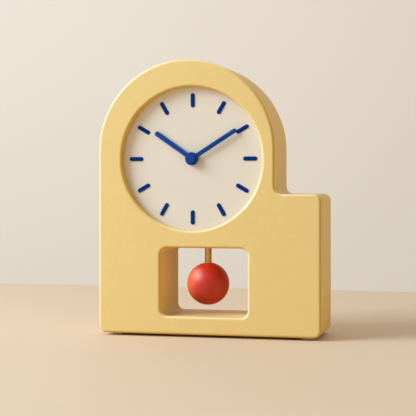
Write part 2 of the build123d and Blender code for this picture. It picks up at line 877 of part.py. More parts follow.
with BuildPart() as centre_wheel:
    toothed(*level(2), centre_teeth, centre_module, 0, dial_centre)
    bars(
        level(2)[0] - overrun, level(2)[1] + overrun, minute_shaft_radius + running_gap, [dial_centre],
        Mode.SUBTRACT
    )
centre_wheel.part.label = "centre_wheel"
export_step(centre_wheel.part, "parts/centre_wheel.step")


with BuildPart() as setting_knob:
    knob_front_y = movement_back_y + small_screw_head_height
    knob_back_y = knob_front_y + knob_height
    bars(inner_front_y - pivot_depth, inner_front_y + end_gap, pivot_radius, [knob_spot])
    bars(inner_front_y + end_gap, level(1)[0], shaft_radius, [knob_spot])
    toothed(*level(1), knob_teeth, motion_module, knob_phase, knob_spot)
    bars(level(1)[1], knob_front_y, knob_shaft_radius, [knob_spot])
    bars(knob_front_y, knob_back_y, knob_radius, [knob_spot])
    chamfer(setting_knob.edges().group_by(Axis.Y)[-1], knob_height / 10)
    # Grip grooves round the rim
    groove_spots = [
        polar(knob_spot, knob_radius, 360 * groove / knob_groove_count) for groove in range(knob_groove_count)
    ]
    bars(
        knob_front_y - overrun / 2, knob_back_y + overrun, knob_groove_radius, groove_spots, Mode.SUBTRACT
    )
setting_knob.part.label = "setting_knob"
export_step(setting_knob.part, "parts/setting_knob.step")


# Small wheels: each has a shaft, a pinion and a wheel, given as (level, teeth, module, phase)
small_wheels = {
    "minute_wheel": (
        minute_spot,
        (0, minute_pinion_teeth, hour_module, 0),
        (1, minute_wheel_teeth, motion_module, minute_phase),
    ),
    "third_wheel": (
        third_spot,
        (2, third_pinion_teeth, centre_module, mesh_phase(0, centre_teeth, third_angle, third_pinion_teeth)),
        (3, third_teeth, third_module, 0),
    ),
    "seconds_wheel": (
        seconds_spot,
        (
            3, seconds_pinion_teeth, third_module,
            mesh_phase(0, third_teeth, seconds_angle, seconds_pinion_teeth)
        ),
        (4, seconds_teeth, seconds_module, 0),
    ),
    "intermediate_wheel": (
        intermediate_spot,
        (
            4, intermediate_pinion_teeth, seconds_module,
            mesh_phase(0, seconds_teeth, intermediate_angle, intermediate_pinion_teeth)
        ),
        (5, intermediate_teeth, rotor_module, 0),
    ),
}

for wheel_name, (spot, *rims) in small_wheels.items():
    with BuildPart() as small_wheel:
        bars(inner_front_y + end_gap, inner_back_y - end_gap, shaft_radius, [spot])
        bars(inner_front_y - pivot_depth, inner_back_y + pivot_depth, pivot_radius, [spot])
        for number, teeth, module, phase in rims:
            toothed(*level(number), teeth, module, phase, spot)
    small_wheel.part.label = wheel_name
    export_step(small_wheel.part, f"parts/{wheel_name}.step")


with BuildPart() as rotor:
    rotor_phase = mesh_phase(0, intermediate_teeth, rotor_angle, rotor_pinion_teeth)
    bars(inner_front_y + end_gap, inner_back_y - end_gap, shaft_radius, [rotor_spot])
    bars(inner_front_y - pivot_depth, inner_back_y + pivot_depth, pivot_radius, [rotor_spot])
    toothed(*level(5), rotor_pinion_teeth, rotor_module, rotor_phase, rotor_spot)
    bars(magnet_front_y, magnet_front_y + magnet_length, magnet_radius, [rotor_spot])
rotor.part.label = "rotor"
export_step(rotor.part, "parts/rotor.step")


with BuildPart() as stator:
    stator_width = stator_right_x - stator_left_x
    blocks(
        stator_y, core_y, stator_width, 2 * stator_half_height, [(stator_left_x + stator_width / 2, rotor_z)]
    )
    arm_height = core_rise + core_height / 2
    blocks(stator_y, core_y, stator_arm_width, arm_height, [(x, rotor_z + arm_height / 2) for x in arm_x])
    bars(stator_y - overrun, core_y + overrun, stator_hole_radius, [rotor_spot], Mode.SUBTRACT)
stator.part.label = "stator"
export_step(stator.part, "parts/stator.step")


with BuildPart() as coil_core:
    core_length = stator_arm_pitch + stator_arm_width
    blocks(core_y, core_y + stator_thickness, core_length, core_height, [(coil_x, core_z)])
coil_core.part.label = "coil_core"
export_step(coil_core.part, "parts/coil_core.step")


with BuildPart() as motor_coil:
    core_middle_y = core_y + stator_thickness / 2
    rods(coil_x - coil_length / 2, coil_x + coil_length / 2, coil_radius, [(core_middle_y, core_z)])
    blocks(
        core_y - coil_bore_gap, core_y + stator_thickness + coil_bore_gap, coil_length + 2 * overrun,
        core_height + 2 * coil_bore_gap, [(coil_x, core_z)], Mode.SUBTRACT
    )
motor_coil.part.label = "motor_coil"
export_step(motor_coil.part, "parts/motor_coil.step")


with BuildPart() as circuit_board:
    board_front_y = board_back_y - board_thickness
    blocks(board_front_y, board_back_y, board_width, board_height, [board_spot])
    blocks(
        board_front_y - chip_height, board_front_y, chip_size, chip_size,
        [(board_spot[0] - board_width / 4, board_spot[1])]
    )
    rods(
        board_spot[0], board_spot[0] + crystal_length, crystal_radius,
        [(board_front_y - crystal_radius / 2, board_spot[1])]
    )
circuit_board.part.label = "circuit_board"
export_step(circuit_board.part, "parts/circuit_board.step")


with BuildPart() as aa_battery:
    cell_left = dial_x - (cell_body_length + cell_nub_length) / 2
    cell_right = cell_left + cell_body_length
    rods(cell_left, cell_right, cell_radius, [(cell_y, cell_z)])
    fillet(aa_battery.edges(), cell_clearance)
    rods(cell_right, cell_right + cell_nub_length, cell_nub_radius, [(cell_y, cell_z)])
aa_battery.part.label = "aa_battery"
export_step(aa_battery.part, "parts/aa_battery.step")


with BuildPart() as battery_contacts:
    contact_height = bay_height * 3 / 4
    contact_bottom = movement_bottom - tab_length
    for side, cell_end in ((-1, cell_left), (1, cell_right + cell_nub_length)):
        outer = dial_x + side * bay_length / 2
        inner = outer - side * contact_thickness
        blocks(
            cell_y - contact_width / 2, cell_y + contact_width / 2, contact_thickness, contact_height,
            [((outer + inner) / 2, cell_z)]
        )
        # Solder tab, down through the notch in the housing
        blocks(
            split_y - tab_width / 2, split_y + tab_width / 2, contact_thickness, cell_z - contact_bottom,
            [((outer + inner) / 2, (cell_z + contact_bottom) / 2)]
        )
        # Pad that presses on the cell
        rods(min(inner, cell_end), max(inner, cell_end), contact_pad_radius, [(cell_y, cell_z)])
battery_contacts.part.label = "battery_contacts"
export_step(battery_contacts.part, "parts/battery_contacts.step")


with BuildPart() as pendulum_bracket:
    # Base plate on the tunnel's roof, with a slot over the case's slot
    with BuildSketch(Plane.XY.offset(floor_z)):
        with Locations((pendulum_x, 0)):
            RectangleRounded(2 * bracket_half_width, 2 * bracket_half_depth, bracket_screw_inset)
            RectangleRounded(slot_length, slot_width, slot_width / 3, mode=Mode.SUBTRACT)
        with Locations(*bracket_screw_spots):
            Circle(small_screw_radius + screw_gap, mode=Mode.SUBTRACT)
    extrude(amount=bracket_thickness)
    # Two ears that hold the pivot pin, with bosses on their inner sides
    for end in (-1, 1):
        near = end * ear_half_gap
        far = end * (ear_half_gap + ear_thickness)
        with BuildSketch(facing(max(near, far))):
            with BuildLine():
                Polyline(
                    (pendulum_x - ear_top_radius, pivot_z),
                    (pendulum_x - ear_half_width, bracket_top - bracket_thickness / 2),
                    (pendulum_x + ear_half_width, bracket_top - bracket_thickness / 2),
                    (pendulum_x + ear_top_radius, pivot_z),
                )
                ThreePointArc(
                    (pendulum_x + ear_top_radius, pivot_z),
                    (pendulum_x, pivot_z + ear_top_radius),
                    (pendulum_x - ear_top_radius, pivot_z),
                )
            make_face()
        extrude(amount=ear_thickness)
        boss = end * (hub_half_length + end_play)
        bars(min(near, boss), max(near, boss), ear_boss_radius, [(pendulum_x, pivot_z)])
    # Stakes that hold the drive board
    stake_y = -ear_half_gap - ear_thickness
    stake_spots = [(pendulum_x + side * drive_board_width / 3, magnet_z) for side in (-1, 1)]
    bars(stake_y - drive_board_thickness - stake_height, stake_y, stake_radius, stake_spots)
    bars(
        -bracket_half_depth, bracket_half_depth, pin_radius + press_gap, [(pendulum_x, pivot_z)],
        Mode.SUBTRACT
    )
pendulum_bracket.part.label = "pendulum_bracket"
export_step(pendulum_bracket.part, "parts/pendulum_bracket.step")


with BuildPart() as bracket_screws:
    posts(bracket_top - bracket_screw_length, bracket_top, small_screw_radius, bracket_screw_spots)
    posts(
        bracket_top, bracket_top + small_screw_head_height, small_screw_head_radius, bracket_screw_spots
    )
bracket_screws.part.label = "bracket_screws"
export_step(bracket_screws.part, "parts/bracket_screws.step")


with BuildPart() as pivot_pin:
    pin_half_length = ear_half_gap + ear_thickness
    bars(-pin_half_length, pin_half_length, pin_radius, [(pendulum_x, pivot_z)])
pivot_pin.part.label = "pivot_pin"
export_step(pivot_pin.part, "parts/pivot_pin.step")


with BuildPart() as pivot_bush:
    bars(-hub_half_length, hub_half_length, bush_radius, [(pendulum_x, pivot_z)])
    bars(
        -hub_half_length - overrun, hub_half_length + overrun, pin_radius + running_gap,
        [(pendulum_x, pivot_z)], Mode.SUBTRACT
    )
pivot_bush.part.label = "pivot_bush"
export_step(pivot_bush.part, "parts/pivot_bush.step")


with BuildPart() as pendulum_hanger:
    bars(-hub_half_length, hub_half_length, hub_radius, [(pendulum_x, pivot_z)])
    blocks(
        -arm_half_thickness, arm_half_thickness, 2 * arm_half_width, magnet_drop,
        [(pendulum_x, pivot_z - magnet_drop / 2)]
    )
    bars(
        -magnet_cup_half_length, magnet_cup_half_length, magnet_cup_radius, [(pendulum_x, magnet_z)]
    )
    posts(rod_top - socket_length, rod_top + rod_below_magnet, socket_radius, [(pendulum_x, 0)])
    # Bores for the bush, the magnet and the rod
    bars(
        -hub_half_length - overrun, hub_half_length + overrun, bush_radius + press_gap,
        [(pendulum_x, pivot_z)], Mode.SUBTRACT
    )
    bars(
        -magnet_cup_half_length - overrun, magnet_cup_half_length + overrun,
        drive_magnet_radius + press_gap, [(pendulum_x, magnet_z)], Mode.SUBTRACT
    )
    posts(
        rod_top - socket_length - overrun, rod_top + press_gap, rod_radius + press_gap, [(pendulum_x, 0)],
        Mode.SUBTRACT
    )
pendulum_hanger.part.label = "pendulum_hanger"
export_step(pendulum_hanger.part, "parts/pendulum_hanger.step")


with BuildPart() as drive_magnet:
    bars(
        -magnet_cup_half_length, magnet_cup_half_length, drive_magnet_radius, [(pendulum_x, magnet_z)]
    )
drive_magnet.part.label = "drive_magnet"
export_step(drive_magnet.part, "parts/drive_magnet.step")


with BuildPart() as drive_coil:
    coil_back_y = -magnet_cup_half_length - drive_coil_gap
    winding_radius = drive_coil_radius - drive_coil_flange
    bars(-ear_half_gap, coil_back_y, winding_radius, [(pendulum_x, magnet_z)])
    bars(-ear_half_gap, drive_coil_flange - ear_half_gap, drive_coil_radius, [(pendulum_x, magnet_z)])
    bars(coil_back_y - drive_coil_flange, coil_back_y, drive_coil_radius, [(pendulum_x, magnet_z)])
drive_coil.part.label = "drive_coil"
export_step(drive_coil.part, "parts/drive_coil.step")


with BuildPart() as drive_board:
    blocks(
        stake_y - drive_board_thickness, stake_y, drive_board_width, drive_board_height,
        [(pendulum_x, magnet_z)]
    )
    blocks(
        stake_y - drive_board_thickness - chip_height, stake_y - drive_board_thickness, chip_size, chip_size,
        [(pendulum_x, magnet_z)]
    )
    bars(
        stake_y - drive_board_thickness - overrun, stake_y + overrun, stake_radius + press_gap,
        stake_spots, Mode.SUBTRACT
    )
drive_board.part.label = "drive_board"
export_step(drive_board.part, "parts/drive_board.step")


with BuildPart() as drive_leads:
    board_face_y = stake_y - drive_board_thickness
    lead_bulge = (board_face_y - dial_back_y - lead_radius) / 2
    lead_y = board_face_y - lead_bulge
    lead_z = magnet_z + drive_board_height / 3
    for side in (-1, 1):
        start_x = dial_x + side * tab_x
        end_x = pendulum_x + side * drive_board_width / 6
        route = [
            (start_x, split_y, contact_bottom),
            (start_x, split_y, contact_bottom - lead_drop / 2),
            (start_x, lead_y, contact_bottom - lead_drop),
            (end_x, lead_y, lead_z),
            (end_x, board_face_y, lead_z),
        ]
        with BuildLine() as lead_line:
            FilletPolyline(*route, radius=lead_bulge * lead_bend_share)
        with BuildSketch(Plane(origin=route[0], z_dir=(0, 0, -1))):
            Circle(lead_radius)
        sweep(path=lead_line.line)
drive_leads.part.label = "drive_leads"
export_step(drive_leads.part, "parts/drive_leads.step")


with BuildPart() as pendulum_rod:
    posts(rod_bottom, rod_top, rod_radius, [(pendulum_x, 0)])
pendulum_rod.part.label = "pendulum_rod"
export_step(pendulum_rod.part, "parts/pendulum_rod.step")


with BuildPart() as pendulum_ball:
    with Locations((pendulum_x, 0, ball_z)):
        Sphere(ball_radius)
    posts(
        rod_bottom - press_gap, ball_z + ball_radius + overrun, rod_radius + press_gap, [(pendulum_x, 0)],
        Mode.SUBTRACT
    )
pendulum_ball.part.label = "pendulum_ball"
export_step(pendulum_ball.part, "parts/pendulum_ball.step")
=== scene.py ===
import json
from math import cos, pi, radians, sin

import bpy
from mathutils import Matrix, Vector


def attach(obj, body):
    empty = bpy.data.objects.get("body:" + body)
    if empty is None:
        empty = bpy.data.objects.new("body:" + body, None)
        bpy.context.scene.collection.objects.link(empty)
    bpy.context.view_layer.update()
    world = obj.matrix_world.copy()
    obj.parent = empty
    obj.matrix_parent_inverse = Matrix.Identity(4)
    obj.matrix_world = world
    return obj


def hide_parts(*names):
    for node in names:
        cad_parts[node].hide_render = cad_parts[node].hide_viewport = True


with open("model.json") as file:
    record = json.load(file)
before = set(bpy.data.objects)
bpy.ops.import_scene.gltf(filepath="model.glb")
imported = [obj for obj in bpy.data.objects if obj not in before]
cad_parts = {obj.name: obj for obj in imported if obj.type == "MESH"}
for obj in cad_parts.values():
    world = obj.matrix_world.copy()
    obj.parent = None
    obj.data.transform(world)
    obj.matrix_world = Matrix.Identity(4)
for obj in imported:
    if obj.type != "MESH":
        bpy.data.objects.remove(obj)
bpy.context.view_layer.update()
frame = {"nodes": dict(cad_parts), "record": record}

# A desk pendulum clock in its studio: the camera, the light, the floor and every surface's finish.
# Lengths are in metres. X runs to the right seen from the front, Y to the back and Z up.
# Colours are in 0 to 255, except those of the sky and the lights, which are linear.

MM = 0.001

RIGHT = Vector((1, 0, 0))
BACK = Vector((0, 1, 0))
UP = Vector((0, 0, 1))
TO_LIGHT = Vector((-0.6, 0, 0.8)).normalized()
FROM_LIGHT = Vector((0.7, 0, -0.7)).normalized()
AWAY_AND_DOWN = Vector((0.9, 0, -0.4)).normalized()

# Places that the finishes and the rounded pieces share with the CAD
dial_x = -12.1 * MM
dial_z = 125.8 * MM
dial_face_y = -20.0 * MM
opening_radius = 50.8 * MM
marker_inner_radius = 36.4 * MM
marker_length = 10.1 * MM
marker_width = 2.9 * MM
marker_thickness = 0.6 * MM
shown_minutes = 9.6
shown_hours = 10.0
hour_degrees = 30
minute_degrees = 6
hand_thickness = 0.8 * MM
hour_hand = {
    "back": -21.4 * MM, "front": -22.3 * MM,
    "length": 33.0 * MM, "width": 3.5 * MM, "boss": 4.4 * MM,
}
minute_hand = {
    "back": -22.7 * MM, "front": -24.1 * MM,
    "length": 38.0 * MM, "width": 3.1 * MM, "boss": 4.7 * MM,
}
cell_low_x = -37.35 * MM
cell_high_x = 11.85 * MM

# How far the rounding of the dial's pieces reaches in, as a share of half their width, and down,
# as a share of their thickness
marker_round = (0.3, 0.4)
hand_round = (0.45, 0.5)
boss_round = 0.3 * MM
arc_steps = 12
round_steps = 6

# Windings and the cell's wrapper
motor_coil_wire = (-1.0, 1.0)
motor_coil_pitch = 0.24 * MM
drive_coil_wire = (-8.3 * MM, -4.3 * MM)
drive_coil_pitch = 0.2 * MM
cell_band = (2.5 * MM, 20 * MM)
cell_bare_end = 0.45 * MM

# Camera, solved from the photograph's edges
camera_place = (0.198397, -0.852868, 0.108548)
camera_turn = 13.465
camera_lens = 105.04
camera_sensor = 36.0
horizon_row = 183.218
picture_rows = 416

# Studio
floor_half_width = 1.6
floor_front = -1.6
floor_back = 0.373
floor_colour = (225, 197, 165)
floor_rough = 0.6
wall_half_width = 2.6
wall_bottom = -0.9
wall_top = 2.2
wall_back = 0.95
wall_colour = (236, 223, 210)
wall_rough = 0.9
cloud_size = 0.4
cloud_depth = 2
key_place = (-1.07, -0.62, 0.85)
key_target = (0, 0, 0.1)
key_size = 0.8
key_power = 26.8
key_colour = (0.70, 0.83, 1.0)
pendulum_key_place = (-1.14, -0.19, 0.96)
pendulum_key_target = (0, 0, 0.04)
pendulum_key_power = 28
pendulum_key_colour = (1.0, 0.86, 0.74)
cool_sky = (0.52, 0.54, 0.55, 1.0)
warm_sky = (0.60, 0.49, 0.24, 1.0)
warm_side = (0.8, 0, -0.9)
warm_from = -0.5
warm_to = 0.7
shown_sky = (0.66, 0.62, 0.55, 1.0)

# The case's own yellow, and then painted light and shade. Walls that face other yellow walls, and
# the flank and edges that are turned from the light, get painted shade in deeper yellows, and
# edges that are turned to it get a painted highlight in a paler yellow. The ball's side that is
# turned to the light gets painted light.
case_yellow = {"light": (236, 202, 122), "dark": (234, 200, 120)}
case_grain = {"blotch": 5 * MM, "grain": 0.7 * MM}
recess_painted_shade = (218, 172, 62)
right_flank_painted_shade = (236, 189, 72)
shaded_edge_painted_shade = (216, 169, 46)
tunnel_painted_shade = (226, 196, 50)
deep_tunnel_painted_shade = (202, 178, 22)
sill_corner_painted_shade = (200, 170, 66)
lit_edge_painted_highlight = (245, 216, 154)
ball_painted_light = (221, 108, 76)

# Where noise starts and stops to count, for clear grain and for wide soft blotches
grain_span = (0.3, 0.7)
blotch_span = (0.35, 0.65)


def linear(red, green, blue):
    """A colour given in 0 to 255, as the shader's own linear values."""
    steps = [value / 255 for value in (red, green, blue)]
    bent = [
        step / 12.92 if step <= 0.04045 else ((step + 0.055) / 1.055) ** 2.4
        for step in steps
    ]
    return (*bent, 1.0)


class Tree:
    """A node tree that is built up step by step."""

    def __init__(self, tree):
        self.nodes = tree.nodes
        self.links = tree.links

    def vector_math(self, operation, vector, other=None):
        node = self.nodes.new("ShaderNodeVectorMath")
        node.operation = operation
        self.links.new(vector, node.inputs[0])
        if other is not None:
            node.inputs[1].default_value = other
        return node.outputs

    def ramp(self, value, low, high, start=0.0, end=1.0):
        """From start to end as a value goes from low to high."""
        node = self.nodes.new("ShaderNodeMapRange")
        node.inputs["From Min"].default_value = low
        node.inputs["From Max"].default_value = high
        node.inputs["To Min"].default_value = start
        node.inputs["To Max"].default_value = end
        self.links.new(value, node.inputs["Value"])
        return node.outputs["Result"]

    def mix(self, amount, first, second):
        """The first colour where the amount is 0, and the second where it is 1."""
        node = self.nodes.new("ShaderNodeMix")
        node.data_type = "RGBA"
        self.links.new(amount, node.inputs["Factor"])
        for socket, colour in ((node.inputs[6], first), (node.inputs[7], second)):
            if isinstance(colour, tuple):
                socket.default_value = colour
            else:
                self.links.new(colour, socket)
        return node.outputs[2]


class Finish(Tree):
    """A material for one kind of surface."""

    def __init__(self, name):
        self.material = bpy.data.materials.new(name)
        self.material.use_nodes = True
        super().__init__(self.material.node_tree)
        self.shader = self.nodes["Principled BSDF"]
        spot = self.nodes.new("ShaderNodeTexCoord")
        self.place = spot.outputs["Object"]
        self.normal = spot.outputs["Normal"]

    def set(self, **values):
        for socket, value in values.items():
            self.shader.inputs[socket.replace("_", " ")].default_value = value

    def drive(self, socket, source):
        self.links.new(source, self.shader.inputs[socket])

    def bump(self, height, depth):
        node = self.nodes.new("ShaderNodeBump")
        node.inputs["Distance"].default_value = depth
        self.links.new(height, node.inputs["Height"])
        self.drive("Normal", node.outputs["Normal"])

    def noise(self, size, detail=3.0, stretch=(1, 1, 1)):
        """Noise whose blobs are about size metres across."""
        scaled = self.nodes.new("ShaderNodeMapping")
        scaled.inputs["Scale"].default_value = [share / size for share in stretch]
        self.links.new(self.place, scaled.inputs["Vector"])
        node = self.nodes.new("ShaderNodeTexNoise")
        node.inputs["Scale"].default_value = 1.0
        node.inputs["Detail"].default_value = detail
        self.links.new(scaled.outputs["Vector"], node.inputs["Vector"])
        return node.outputs["Fac"]

    def turns(self, axis, pitch):
        """Even ridges along an axis, like a winding's turns."""
        wave = self.nodes.new("ShaderNodeTexWave")
        wave.wave_type = "BANDS"
        wave.bands_direction = axis
        # At a scale of 1 the bands repeat every pi / 10
        wave.inputs["Scale"].default_value = pi / 10 / pitch
        self.links.new(self.place, wave.inputs["Vector"])
        return wave.outputs["Fac"]

    # Masks: 1 where a painted light or shade or a finish belongs and 0 elsewhere

    def both(self, first, second):
        """Where two masks meet."""
        meeting = self.nodes.new("ShaderNodeMath")
        meeting.operation = "MULTIPLY"
        self.links.new(first, meeting.inputs[0])
        self.links.new(second, meeting.inputs[1])
        return meeting.outputs["Value"]

    def facing(self, way, low, high, start=0.0, end=1.0):
        """From start to end as the surface turns towards a direction."""
        turned = self.vector_math("DOT_PRODUCT", self.normal, way)["Value"]
        return self.ramp(turned, low, high, start, end)

    def position(self, axis):
        split = self.nodes.new("ShaderNodeSeparateXYZ")
        self.links.new(self.place, split.inputs["Vector"])
        return split.outputs[axis]

    def along(self, axis, start, end):
        """From 0 to 1 between two places along an axis."""
        return self.ramp(self.position(axis), start, end)

    def between(self, axis, low, high, soft=0.02 * MM):
        """1 between two places along an axis and 0 outside them."""
        place = self.position(axis)
        past_low = self.ramp(place, low - soft, low)
        return self.both(past_low, self.ramp(place, high, high + soft, 1.0, 0.0))

    def near_dial_axis(self, near, far):
        """1 nearer to the axis through the hub than near, and 0 farther than far."""
        offset = self.vector_math("SUBTRACT", self.place, (dial_x, 0, dial_z))["Vector"]
        flat = self.vector_math("MULTIPLY", offset, (1, 0, 1))["Vector"]
        return self.ramp(self.vector_math("LENGTH", flat)["Value"], near, far, 1.0, 0.0)

    def rounded_over(self):
        """1 on edges that turn away from the front, and 0 on the flats on either side."""
        off_front = self.facing(BACK, -0.97, -0.8)
        return self.both(off_front, self.facing(BACK, -0.45, -0.2, 1.0, 0.0))


# Masks for the painted light and shade. Each pair of numbers after a direction is the cosine
# between it and the surface's normal, first where the mask starts to change and then where it has
# changed.

def on_right(finish):
    """The flank that is turned from the light."""
    return finish.facing(RIGHT, 0.2, 0.7)


def on_left(finish):
    """The side that is turned to the light."""
    return finish.facing(RIGHT, -0.85, -0.3, 1.0, 0.0)


def lit_edge(finish):
    """The rounded front edges that are turned to the light."""
    return finish.both(finish.rounded_over(), finish.facing(TO_LIGHT, -0.05, 0.35))


def shaded_edge(finish):
    """The rounded front edges that are turned from the light."""
    return finish.both(finish.rounded_over(), finish.facing(FROM_LIGHT, 0.05, 0.4))


def in_recess(finish):
    """The shaded half of the wall round the dial."""
    wall = finish.near_dial_axis(opening_radius + 0.1 * MM, opening_radius + 0.5 * MM)
    return finish.both(wall, finish.facing(FROM_LIGHT, -0.4, 0.2))


def in_tunnel(finish):
    """The tunnel's shaded wall and roof, without its rim at the back."""
    shaded = finish.facing(AWAY_AND_DOWN, 0.0, 0.35)
    return finish.both(shaded, finish.facing(BACK, 0.1, 0.5, 1.0, 0.0))


def deep_in_tunnel(finish):
    """The tunnel's shaded wall and roof, more and more towards the back."""
    return finish.both(in_tunnel(finish), finish.along("Y", -16 * MM, 20 * MM))


def in_sill_corner(finish):
    """The tunnel's floor, more and more towards its shaded wall."""
    return finish.both(finish.facing(UP, 0.2, 0.6), finish.along("X", -12 * MM, -32 * MM))


def moulded(
    name, light, dark, rough,
    blotch=14 * MM, grain=0.35 * MM, depth=0.012 * MM, painted_light_and_shade=(), **values
):
    """Matte moulded plastic: faint blotches, powdery grain, and painted light and shade where
    masks ask for them.
    """
    speckle_dark, speckle_share, rough_swing = 0.9, 0.3, 0.05
    finish = Finish(name)
    blotches = finish.ramp(finish.noise(blotch), *blotch_span)
    speckle = finish.noise(grain, detail=2.0)
    colour = finish.mix(blotches, linear(*light), linear(*dark))
    speckles = finish.ramp(speckle, *grain_span, 0.0, speckle_share)
    colour = finish.mix(speckles, colour, linear(*[value * speckle_dark for value in dark]))
    # Painted light and shade: each mask lays its colour over the plastic's own
    for mask, painted_colour in painted_light_and_shade:
        colour = finish.mix(mask(finish), colour, linear(*painted_colour))
    finish.drive("Base Color", colour)
    roughness = finish.ramp(speckle, *grain_span, rough - rough_swing, rough + rough_swing)
    finish.drive("Roughness", roughness)
    finish.bump(speckle, depth)
    finish.set(**values)
    return finish.material


def metal(name, light, dark, rough, along):
    """Drawn or brushed metal, with fine lines along one axis."""
    line_width, line_squeeze, line_depth = 0.12 * MM, 0.02, 0.004 * MM
    patch, rough_swing = 3 * MM, 0.08
    finish = Finish(name)
    stretch = [line_squeeze if axis == along else 1.0 for axis in "XYZ"]
    lines = finish.noise(line_width, detail=2.0, stretch=stretch)
    patches = finish.noise(patch)
    finish.drive("Base Color", finish.mix(patches, linear(*light), linear(*dark)))
    roughness = finish.ramp(lines, *grain_span, rough - rough_swing, rough + rough_swing)
    finish.drive("Roughness", roughness)
    finish.bump(lines, line_depth)
    finish.set(Metallic=1.0)
    return finish.material


def wound(name, axis, wire_from, wire_to, pitch):
    """Enamelled copper wire in even turns between two places along an axis, on a bobbin."""
    # The grooves between the turns are painted in a darker colour, as shade between the round
    # wires
    groove_painted_shade, crown, bobbin = (96, 40, 20), (206, 112, 62), (232, 226, 208)
    bobbin_rough, wire_rough = 0.5, 0.32
    finish = Finish(name)
    turns = finish.turns(axis, pitch)
    wire = finish.mix(turns, linear(*groove_painted_shade), linear(*crown))
    winding = finish.between(axis, wire_from, wire_to)
    finish.drive("Base Color", finish.mix(winding, linear(*bobbin), wire))
    finish.drive("Roughness", finish.ramp(winding, 0.0, 1.0, bobbin_rough, wire_rough))
    finish.bump(turns, pitch / 3)
    finish.drive("Metallic", winding)
    return finish.material


def wrapped_cell(name):
    """A cell's wrapper in two plain colours, with bare metal at both ends."""
    wrapper, worn_wrapper, band = (40, 58, 86), (34, 50, 76), (196, 132, 52)
    bare = (206, 204, 198)
    scuff_width, scuff_stretch, scuff_depth = 0.6 * MM, (0.1, 1, 1), 0.004 * MM
    smooth, scuffed = 0.24, 0.36
    finish = Finish(name)
    scuffs = finish.noise(scuff_width, stretch=scuff_stretch)
    colour = finish.mix(scuffs, linear(*wrapper), linear(*worn_wrapper))
    colour = finish.mix(finish.between("X", *cell_band), colour, linear(*band))
    wrapped = finish.between("X", cell_low_x + cell_bare_end, cell_high_x - cell_bare_end)
    finish.drive("Base Color", finish.mix(wrapped, linear(*bare), colour))
    finish.drive("Roughness", finish.ramp(scuffs, *grain_span, smooth, scuffed))
    finish.bump(scuffs, scuff_depth)
    finish.drive("Metallic", finish.ramp(wrapped, 0.0, 1.0, 1.0, 0.0))
    return finish.material


def plain(name, colour, rough):
    """A flat, nearly even colour for the studio."""
    finish = Finish(name)
    darker = [value - cloud_depth for value in colour]
    clouds = finish.noise(cloud_size)
    finish.drive("Base Color", finish.mix(clouds, linear(*colour), linear(*darker)))
    finish.set(Roughness=rough)
    return finish.material


# A material for each slot of the record
materials = {
    "case": moulded(
        "case", **case_yellow, **case_grain, rough=0.42, depth=0.02 * MM,
        Specular_IOR_Level=0.9,
        # Painted shade on the flank and edges turned from the light and on the dial's recess wall,
        # and painted highlights on the edges turned to the light
        painted_light_and_shade=(
            (on_right, right_flank_painted_shade), (lit_edge, lit_edge_painted_highlight),
            (shaded_edge, shaded_edge_painted_shade), (in_recess, recess_painted_shade),
        ),
    ),
    "cover": moulded(
        "cover", (234, 199, 125), (232, 196, 122), 0.55, **case_grain, depth=0.03 * MM
    ),
    "dial": moulded(
        "dial", (229, 217, 198), (227, 215, 196), 0.7, grain=0.5 * MM, depth=0.003 * MM
    ),
    "blue": moulded(
        "blue", (12, 66, 142), (10, 60, 132), 0.45, grain=0.3 * MM, Specular_IOR_Level=0.15
    ),
    "marker_blue": moulded(
        "marker_blue", (1, 48, 124), (0, 44, 116), 0.6, grain=0.3 * MM,
        Specular_IOR_Level=0.05
    ),
    "ball": moulded(
        "ball", (190, 34, 13), (184, 30, 11), 0.42, grain=0.25 * MM, depth=0.004 * MM,
        # Painted light on the ball's side that is turned to the light
        Specular_IOR_Level=0.6, painted_light_and_shade=((on_left, ball_painted_light),)
    ),
    "brass": metal("brass", (216, 178, 114), (198, 160, 98), 0.32, "Z"),
    "steel": metal("steel", (190, 192, 196), (170, 172, 178), 0.32, "Y"),
    "feet": moulded(
        "feet", (250, 240, 220), (244, 232, 210), 0.4, grain=0.5 * MM,
        Subsurface_Weight=0.6, Subsurface_Radius=(3 * MM, 3 * MM, 2.5 * MM),
        Subsurface_Scale=1.0
    ),
    "housing": moulded("housing", (34, 34, 36), (28, 28, 30), 0.55, depth=0.02 * MM),
    "wheels": moulded("wheels", (236, 234, 226), (228, 226, 216), 0.35),
    "knob": moulded("knob", (30, 30, 32), (24, 24, 26), 0.5),
    "magnet": metal("magnet", (92, 92, 96), (78, 78, 82), 0.45, "Y"),
    "board": moulded("board", (22, 92, 54), (18, 80, 46), 0.4),
    "cell": wrapped_cell("cell"),
    "nickel": metal("nickel", (206, 204, 198), (190, 188, 182), 0.25, "Z"),
    "leads": moulded("leads", (168, 30, 30), (150, 24, 24), 0.45),
}

# Nodes whose material isn't their slot's. The two coils are the only nodes of their slot.
own_materials = {
    "window_sleeve": moulded(
        "sleeve", **case_yellow, **case_grain, rough=0.5, depth=0.02 * MM,
        # Painted shade on the tunnel's shaded wall and roof, deeper towards the back, and on its
        # floor towards the shaded wall
        painted_light_and_shade=(
            (in_tunnel, tunnel_painted_shade), (deep_in_tunnel, deep_tunnel_painted_shade),
            (in_sill_corner, sill_corner_painted_shade),
        ),
    ),
    "motor_coil": wound("motor_coil", "X", *motor_coil_wire, motor_coil_pitch),
    "drive_coil": wound("drive_coil", "Y", *drive_coil_wire, drive_coil_pitch),
}

for part in frame["record"]["subparts"]:
    node = frame["nodes"][part["node"]]
    node.data.materials.clear()
    material = own_materials.get(part["node"]) or materials[part["material_slot"]]
    node.data.materials.append(material)


def direction(clockwise):
    """The way that a hand or marker points, in degrees clockwise from twelve."""
    return Vector((sin(radians(clockwise)), 0, cos(radians(clockwise))))


